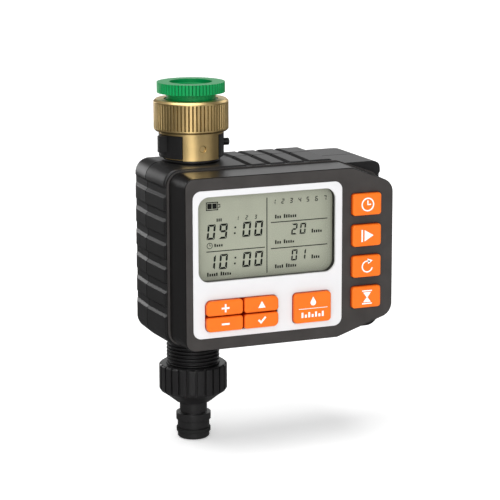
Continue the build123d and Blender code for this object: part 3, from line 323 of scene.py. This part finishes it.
def rounded(x0, z0, x1, z1, radii, inset=0.0, steps=7):
    """Points round a rectangle in mm; the radii go bottom left, bottom right, top right, top left."""
    x0, z0, x1, z1 = x0 + inset, z0 + inset, x1 - inset, z1 - inset
    places = ((x0, z0, 1, 1, 180), (x1, z0, -1, 1, 270), (x1, z1, -1, -1, 0), (x0, z1, 1, -1, 90))
    points = []
    for (x, z, sx, sz, start), r in zip(places, radii):
        r = max(r - inset, 0.04)
        for k in range(steps + 1):
            a = math.radians(start + 90 * k / steps)
            points.append((x + sx * r + r * math.cos(a), z + sz * r + r * math.sin(a)))
    return points


def arc_band(x, z, inner, outer, start, end, steps=24):
    """A band of a ring, angles in degrees from +X."""
    angles = [math.radians(start + (end - start) * k / steps) for k in range(steps + 1)]
    out = [(x + outer * math.cos(a), z + outer * math.sin(a)) for a in angles]
    back = [(x + inner * math.cos(a), z + inner * math.sin(a)) for a in reversed(angles)]
    return out + back


def ring_bands(x, z, inner, outer):
    """A whole ring, as two half bands."""
    return [arc_band(x, z, inner, outer, 0, 180), arc_band(x, z, inner, outer, 180, 360)]


def bar(x0, z0, x1, z1):
    """An upright rectangle."""
    return [(x0, z0), (x1, z0), (x1, z1), (x0, z1)]


def stroke(x0, z0, x1, z1, width):
    """A straight stroke between two points."""
    length = math.hypot(x1 - x0, z1 - z0)
    dx, dz = (x1 - x0) / length * width / 2, (z1 - z0) / length * width / 2
    return [(x0 + dz, z0 - dx), (x1 + dz, z1 - dx), (x1 - dz, z1 + dx), (x0 - dz, z0 + dx)]


# ---- Buttons ----
FLANGE = 1.0
FLANGE_THICKNESS = 1.0
PAINT = 0.06
POST_RADIUS = 1.8
EDGE_ROUND = 1.0
CROWN = 0.16
MARK_SINK = 0.1
EDGE_STEPS = 7
CROWN_STEPS = 6
CROWN_REACH = 0.92
BEZEL_WALL = 2.0
FLANGE_GAP = 0.1
box_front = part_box("front_bezel")[0].y / MM + BEZEL_WALL
KEY_ROUND, KEY_INNER = 2.6, 1.7
PROGRAM_ROUND, WING_ROUND = 1.9, 1.5
button_paint = finish_material("button_marks", (0.92, 0.91, 0.88), 0.45, tone=0.02, edge=0.05, edge_highlight=0.0)


def button_piece(node, outer_sides, radii):
    """A soft-edged button on its flange and post.

    Returns the middle of its face and the depth of its marks.
    """
    low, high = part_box(node)
    low, high = low / MM, high / MM
    left, bottom, right, top = outer_sides
    x0, x1 = low.x + FLANGE * left, high.x - FLANGE * right
    z0, z1 = low.z + FLANGE * bottom, high.z - FLANGE * top
    cx, cz = (x0 + x1) / 2, (z0 + z1) / 2
    flange_front = box_front + FLANGE_GAP
    flange_back = flange_front + FLANGE_THICKNESS
    face = low.y + PAINT + CROWN
    cap = rounded(x0, z0, x1, z1, radii)
    foot = rounded(low.x, low.z, high.x, high.z, radii)
    turn = [math.atan2(z - cz, x - cx) for x, z in foot]
    post = [(cx + POST_RADIUS * math.cos(a), cz + POST_RADIUS * math.sin(a)) for a in turn]
    loops = [(post, high.y), (post, flange_back), (foot, flange_back), (foot, flange_front)]
    loops += [(cap, flange_front), (cap, face + EDGE_ROUND)]
    for k in range(1, EDGE_STEPS + 1):
        a = math.radians(90 * k / EDGE_STEPS)
        outline = rounded(x0, z0, x1, z1, radii, EDGE_ROUND * (1 - math.cos(a)))
        loops.append((outline, face + EDGE_ROUND * (1 - math.sin(a))))
    reach = min(x1 - x0, z1 - z0) / 2 - EDGE_ROUND
    for k in range(1, CROWN_STEPS + 1):
        t = k / CROWN_STEPS * CROWN_REACH
        outline = rounded(x0, z0, x1, z1, radii, EDGE_ROUND + reach * t)
        loops.append((outline, face - CROWN * (1 - (1 - t) ** 2)))
    points = [[(x * MM, y * MM, z * MM) for x, z in loop] for loop, y in loops]
    name = node.removesuffix("_button") + "_key"
    piece = loft(name, points, mats["orange_plastic"], node, 40)
    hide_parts(node)
    return cx, cz, low.y * MM


def mark(node, polygons, front):
    """A painted sign on a button, sunk into its crown."""
    name = node.removesuffix("_button") + "_mark"
    back = front + (PAINT + CROWN + MARK_SINK) * MM
    prisms(name, polygons, back, front, button_paint, node)


x, z, y = button_piece("plus_button", (1, 0, 0, 1), (KEY_INNER, KEY_INNER, KEY_INNER, KEY_ROUND))
mark("plus_button", [bar(x - 2, z - 0.42, x - 0.42, z + 0.42),
                     bar(x + 0.42, z - 0.42, x + 2, z + 0.42),
                     bar(x - 0.42, z - 2, x + 0.42, z + 2)], y)
x, z, y = button_piece("minus_button", (1, 1, 0, 0), (KEY_ROUND, KEY_INNER, KEY_INNER, KEY_INNER))
mark("minus_button", [bar(x - 2, z - 0.45, x + 2, z + 0.45)], y)
x, z, y = button_piece("up_button", (0, 0, 1, 1), (KEY_INNER, KEY_INNER, KEY_ROUND, KEY_INNER))
mark("up_button", [[(x - 1.9, z - 1.5), (x + 1.9, z - 1.5), (x, z + 1.8)]], y)
x, z, y = button_piece("ok_button", (0, 1, 1, 0), (KEY_INNER, KEY_ROUND, KEY_INNER, KEY_INNER))
mark("ok_button", [[(x - 2.1, z + 0.1), (x - 1.4, z + 0.75), (x - 0.5, z - 0.25), (x + 1.6, z + 2.0),
                    (x + 2.3, z + 1.35), (x - 0.5, z - 1.6)]], y)
x, z, y = button_piece("program_button", (1, 1, 1, 1), (PROGRAM_ROUND,) * 4)
drop = [(x, z + 5.6)]
for k in range(19):
    a = math.radians(25 - 230 * k / 18)
    drop.append((x + 1.45 * math.cos(a), z + 2.6 + 1.45 * math.sin(a)))
SCHEDULE_HEIGHTS = (2.6, 1.5, 2.6, 1.5, 2.6, 1.5, 2.6)
schedule = [bar(x - 6.2 + 1.8 * k, z - 4.6, x - 5.2 + 1.8 * k, z - 4.6 + h)
            for k, h in enumerate(SCHEDULE_HEIGHTS)]
mark("program_button", [drop, bar(x - 7.6, z - 0.35, x + 7.6, z - 0.08)] + schedule, y)
x, z, y = button_piece("clock_button", (1, 1, 1, 1), (WING_ROUND,) * 4)
hands = [stroke(x, z - 0.3, x, z + 2.0, 0.6), stroke(x + 0.32, z, x + 1.7, z, 0.6)]
mark("clock_button", ring_bands(x, z, 2.75, 3.4) + hands, y)
x, z, y = button_piece("start_button", (1, 1, 1, 1), (WING_ROUND,) * 4)
mark("start_button", [bar(x - 3.3, z - 3, x - 2.5, z + 3),
                      [(x - 1.6, z - 2.8), (x + 3.2, z), (x - 1.6, z + 2.8)]], y)
x, z, y = button_piece("interval_button", (1, 1, 1, 1), (WING_ROUND,) * 4)
mark("interval_button", [arc_band(x, z, 2.4, 3.05, 60, 345),
                         [(x + 0.1, z + 3.9), (x + 2.9, z + 2.9), (x + 0.5, z + 1.2)]], y)
x, z, y = button_piece("duration_button", (1, 1, 1, 1), (WING_ROUND,) * 4)
mark("duration_button", [bar(x - 2.6, z + 2.9, x + 2.6, z + 3.5), bar(x - 2.6, z - 3.5, x + 2.6, z - 2.9),
                         [(x - 2.1, z + 2.5), (x - 0.3, z), (x + 0.3, z), (x + 2.1, z + 2.5)],
                         [(x - 2.1, z - 2.5), (x + 2.1, z - 2.5), (x + 0.3, z - 0.15),
                          (x - 0.3, z - 0.15)]], y)

# ---- Display ----
lcd_ink = finish_material("lcd_ink", (0.008, 0.009, 0.008), 0.6, specular=0.02, tone=0.02, edge=0.02,
                          edge_highlight=0.0)
GLASS_MARGIN = 1.5
INK_HEIGHT = 0.045
LEAN = 0.1
COLON_DOT = 0.85
# Width, height and stroke of each size of digit, in mm
CLOCK_DIGIT = (4.1, 7.3, 1.0)
COUNT_DIGIT = (3.0, 5.4, 0.75)
DAY_DIGIT = (1.5, 2.4, 0.42)
PROGRAM_DIGIT = (1.2, 2.0, 0.38)
lcd_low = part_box("lcd_module")[0] / MM
lcd_x, lcd_z = lcd_low.x + GLASS_MARGIN, lcd_low.z + GLASS_MARGIN
SEGMENTS = {0: "abcdef", 1: "bc", 2: "abged", 3: "abgcd", 4: "fgbc", 5: "afgcd", 6: "afgedc", 7: "abc",
            8: "abcdefg", 9: "abfgcd"}
ink = []


def digit(value, x, z, width, height, weight):
    """A seven-segment digit, leaning a little to the right."""
    mid, gap = height / 2, weight * 0.14
    w = weight

    def lay(points):
        ink.append([(lcd_x + x + px + pz * LEAN, lcd_z + z + pz) for px, pz in points])

    shapes = {
        "a": [(gap, height), (width - gap, height), (width - w - gap, height - w), (w + gap, height - w)],
        "d": [(gap, 0), (width - gap, 0), (width - w - gap, w), (w + gap, w)],
        "g": [(w / 2 + gap, mid), (w + gap, mid + w / 2), (width - w - gap, mid + w / 2),
              (width - w / 2 - gap, mid), (width - w - gap, mid - w / 2), (w + gap, mid - w / 2)],
        "f": [(0, height - gap), (w, height - w - gap), (w, mid + w / 2 + gap), (w / 2, mid + gap),
              (0, mid + w / 2 + gap)],
        "e": [(0, gap), (0, mid - w / 2 - gap), (w / 2, mid - gap), (w, mid - w / 2 - gap), (w, w + gap)],
        "b": [(width, height - gap), (width - w, height - w - gap), (width - w, mid + w / 2 + gap),
              (width - w / 2, mid + gap), (width, mid + w / 2 + gap)],
        "c": [(width, gap), (width, mid - w / 2 - gap), (width - w / 2, mid - gap),
              (width - w, mid - w / 2 - gap), (width - w, w + gap)],
    }
    for segment in SEGMENTS[value]:
        lay(shapes[segment])


def lcd_bar(x0, z0, x1, z1):
    """A rectangle of ink, measured in mm from the glass's lower left corner."""
    ink.append(bar(lcd_x + x0, lcd_z + z0, lcd_x + x1, lcd_z + z1))


def strip(x, z, heights, width=0.75, pitch=1.15):
    """A row of small blocks, in place of a caption."""
    for k, h in enumerate(heights):
        if h:
            lcd_bar(x + k * pitch, z, x + k * pitch + width, z + h)


for x, z, text in ((6.2, 19.6, (0, 9, None, 0, 0)), (6.2, 4.8, (1, 0, None, 0, 0))):
    for place, value in zip((0, 6.2, 13.9, 18.3, 24.5), text):
        if value is not None:
            digit(value, x + place, z, *CLOCK_DIGIT)
        else:
            for level in (1.8, 4.6):
                left = x + place + level * LEAN
                lcd_bar(left, z + level, left + COLON_DOT, z + level + COLON_DOT)
for x, z, value in ((50.1, 18.7, 2), (54.6, 18.7, 0), (50.1, 5.9, 0), (54.6, 5.9, 1)):
    digit(value, x, z, *COUNT_DIGIT)
for place, value in zip((40.3, 44.9, 49.3, 53.8, 58.1, 62.7, 67.2), range(1, 8)):
    digit(value, place, 34.4, *DAY_DIGIT)
for place, value in ((21.4, 1), (26.2, 2), (30.9, 3)):
    digit(value, place, 28.0, *PROGRAM_DIGIT)
BATTERY_SIGN = ((6.0, 33.7, 12.2, 34.15), (6.0, 37.35, 12.2, 37.8), (6.0, 34.15, 6.4, 37.35),
                (11.8, 34.15, 12.2, 37.35), (12.2, 34.9, 13.3, 35.25), (12.2, 36.25, 13.3, 36.6),
                (12.95, 35.25, 13.3, 36.25), (6.7, 34.45, 8.95, 37.05), (9.25, 34.45, 11.5, 37.05))
DIVIDERS = ((6.1, 13.5, 36.3, 13.95), (37.2, 0.9, 37.65, 37.9), (39.5, 25.3, 69.4, 25.75),
            (39.5, 12.45, 69.4, 12.9))
for x0, z0, x1, z1 in BATTERY_SIGN + DIVIDERS:
    lcd_bar(x0, z0, x1, z1)
ink.extend(ring_bands(lcd_x + 7.8, lcd_z + 16.6, 1.2, 1.5))
ink.append(stroke(lcd_x + 7.8, lcd_z + 16.5, lcd_x + 7.8, lcd_z + 17.6, 0.25))
ink.append(stroke(lcd_x + 7.9, lcd_z + 16.6, lcd_x + 8.6, lcd_z + 16.6, 0.25))
strip(10.2, 15.9, (1.5, 1.1, 1.1, 1.1))
strip(11.4, 28.1, (1.5, 1.5, 1.5), 0.6, 1.0)
strip(6.4, 1.7, (1.9, 1.3, 1.3, 1.3, 1.6, 0, 1.9, 1.6, 1.3, 1.3, 1.1))
strip(41.7, 27.3, (1.9, 1.3, 1.3, 0, 1.9, 1.6, 1.6, 1.3, 1.3, 1.3))
strip(41.7, 14.8, (1.9, 1.3, 1.3, 0, 1.9, 1.3, 1.3, 1.3, 1.0))
strip(41.7, 2.8, (1.9, 1.3, 1.3, 1.6, 0, 1.9, 1.6, 1.3, 1.3, 1.1))
strip(61.0, 18.9, (1.9, 1.3, 1.3, 1.3, 1.1))
strip(61.0, 6.1, (1.9, 1.3, 1.3, 1.1))
lcd_face = lcd_low.y * MM
prisms("display_marks", ink, lcd_face, lcd_face - INK_HEIGHT * MM, lcd_ink, "timer")

# ---- Thread inside the reducer ----
STEPS_PER_TURN = 64
FADE_STEPS = 24
FADED_DEPTH = 0.05
THREAD_DEPTH = 1.0
THREAD_SINK = 0.06
THREAD_PITCH = 1.814
THREAD_BOTTOM, THREAD_TOP = -10.0, -0.9


def helix(name, inner, outer, bottom, top, pitch, material, body):
    """A right-hand thread ridge on the inside of a bore."""
    count = int((top - bottom) / pitch * STEPS_PER_TURN)
    loops = []
    for k in range(count + 1):
        a = 2 * math.pi * k / STEPS_PER_TURN
        level = bottom + pitch * k / STEPS_PER_TURN
        fade = min(1.0, k / FADE_STEPS, (count - k) / FADE_STEPS)
        crest = outer - (outer - inner) * max(fade, FADED_DEPTH)
        profile = ((outer, -0.44), (crest, -0.1), (crest, 0.1), (outer, 0.44))
        loops.append([(r * math.cos(a) * MM, r * math.sin(a) * MM, (level + h * pitch) * MM)
                      for r, h in profile])
    return loft(name, loops, material, body, 50)


HALF_INCH_RADIUS = frame["record"]["mounts"][0]["dims"]["r_mm"]
helix("reducer_thread", HALF_INCH_RADIUS - THREAD_DEPTH, HALF_INCH_RADIUS + THREAD_SINK, THREAD_BOTTOM,
      THREAD_TOP, THREAD_PITCH, mats["green_plastic"], "reducer")


# ---- Stage ----
FLOOR_GAP = 0.3 * MM
FLOOR_REACH = 12.0
FLOOR_WHITE = (0.93, 0.93, 0.93, 1)
FLOOR_ROUGHNESS = 0.9
FLOOR_GLOW = 0.36
SKY_LIGHT, SKY_SEEN = 0.12, 1.0
SUN_POWER = 2.1
SUN_ANGLE = math.radians(56)
SUN_DIRECTION = (0.22, 0.1, -1)
# Name, place and diameter in metres, power, and whether the camera sees it
LIGHTS = (
    ("key", (-0.5, -0.9, 0.6), 0.3, 1.1, True),
    ("front", (0.55, -1.2, 0.25), 0.7, 1.2, True),
    ("card_front", (-0.9, -2.6, 0.55), 2.0, 30, True),
    ("card_left", (-2.0, -1.9, 0.9), 1.9, 7, True),
    ("card_right", (1.9, -2.2, 0.6), 1.8, 6, True),
    ("rim", (-0.12, 0.55, -0.01), 0.2, 0.32, False),
    ("back", (0.6, 1.2, 0.32), 0.6, 0.7, False),
    ("card_back_left", (-1.7, 1.9, 1.1), 1.5, 6, False),
    ("card_back_right", (2.3, 1.0, 0.9), 1.5, 10, False),
)
middle = (cad_low + cad_high) / 2


def aim(direction):
    """The turn that points a lamp along a direction."""
    return Vector(direction).to_track_quat("-Z", "Y").to_euler()


def area_light(name, place, size, power, seen):
    """A round lamp that faces the middle of the object."""
    data = bpy.data.lights.new(name, "AREA")
    data.shape = "DISK"
    data.size = size
    data.energy = power
    obj = bpy.data.objects.new(name, data)
    obj.location = place
    obj.rotation_euler = aim(middle - Vector(place))
    obj.visible_camera = seen
    scene.collection.objects.link(obj)


corners = [(-FLOOR_REACH, -FLOOR_REACH, 0), (FLOOR_REACH, -FLOOR_REACH, 0), (FLOOR_REACH, FLOOR_REACH, 0),
           (-FLOOR_REACH, FLOOR_REACH, 0)]
mesh = bpy.data.meshes.new("floor")
mesh.from_pydata(corners, [], [(0, 1, 2, 3)])
floor = bpy.data.objects.new("floor", mesh)
floor.location = (0, 0, cad_low.z - FLOOR_GAP)
scene.collection.objects.link(floor)
floor_mat = bpy.data.materials.new("floor_white")
floor_mat.use_nodes = True
floor_inputs = floor_mat.node_tree.nodes["Principled BSDF"].inputs
floor_inputs["Base Color"].default_value = FLOOR_WHITE
floor_inputs["Roughness"].default_value = FLOOR_ROUGHNESS
floor_inputs["Emission Color"].default_value = (1, 1, 1, 1)
floor_inputs["Emission Strength"].default_value = FLOOR_GLOW
floor.data.materials.append(floor_mat)
floor.visible_glossy = False

# The sky looks white, yet lights the object only softly.
world = bpy.data.worlds.new("studio")
world.use_nodes = True
world_tree = world.node_tree
background = world_tree.nodes["Background"]
background.inputs["Color"].default_value = (1, 1, 1, 1)
ray = world_tree.nodes.new("ShaderNodeLightPath")
sky = world_tree.nodes.new("ShaderNodeMapRange")
sky.inputs["To Min"].default_value = SKY_LIGHT
sky.inputs["To Max"].default_value = SKY_SEEN
link(world_tree, ray.outputs["Is Camera Ray"], sky.inputs["Value"])
link(world_tree, sky.outputs["Result"], background.inputs["Strength"])
scene.world = world
sun = bpy.data.lights.new("overhead", "SUN")
sun.energy = SUN_POWER
sun.angle = SUN_ANGLE
overhead = bpy.data.objects.new("overhead", sun)
overhead.rotation_euler = aim(SUN_DIRECTION)
scene.collection.objects.link(overhead)
for row in LIGHTS:
    area_light(*row)
scene.view_settings.view_transform = "Standard"

# ---- Camera ----
YAW, PITCH, ROLL = math.radians(22.456), math.radians(11.892), math.radians(-0.133)
CAMERA_PLACE = (-0.35763, -0.94035, 0.1277)
LENS_LENGTH = 149.3
ahead = Vector((math.sin(YAW) * math.cos(PITCH), math.cos(YAW) * math.cos(PITCH), -math.sin(PITCH)))
right = Vector((math.cos(YAW), -math.sin(YAW), 0))
up = right.cross(ahead)
turned_right = right * math.cos(ROLL) + up * math.sin(ROLL)
turned_up = up * math.cos(ROLL) - right * math.sin(ROLL)
camera_data = bpy.data.cameras.new("camera")
camera_data.lens = LENS_LENGTH
camera = bpy.data.objects.new("camera", camera_data)
turn = Matrix((turned_right, turned_up, -ahead)).transposed().to_4x4()
camera.matrix_world = Matrix.Translation(CAMERA_PLACE) @ turn
scene.collection.objects.link(camera)
scene.camera = camera
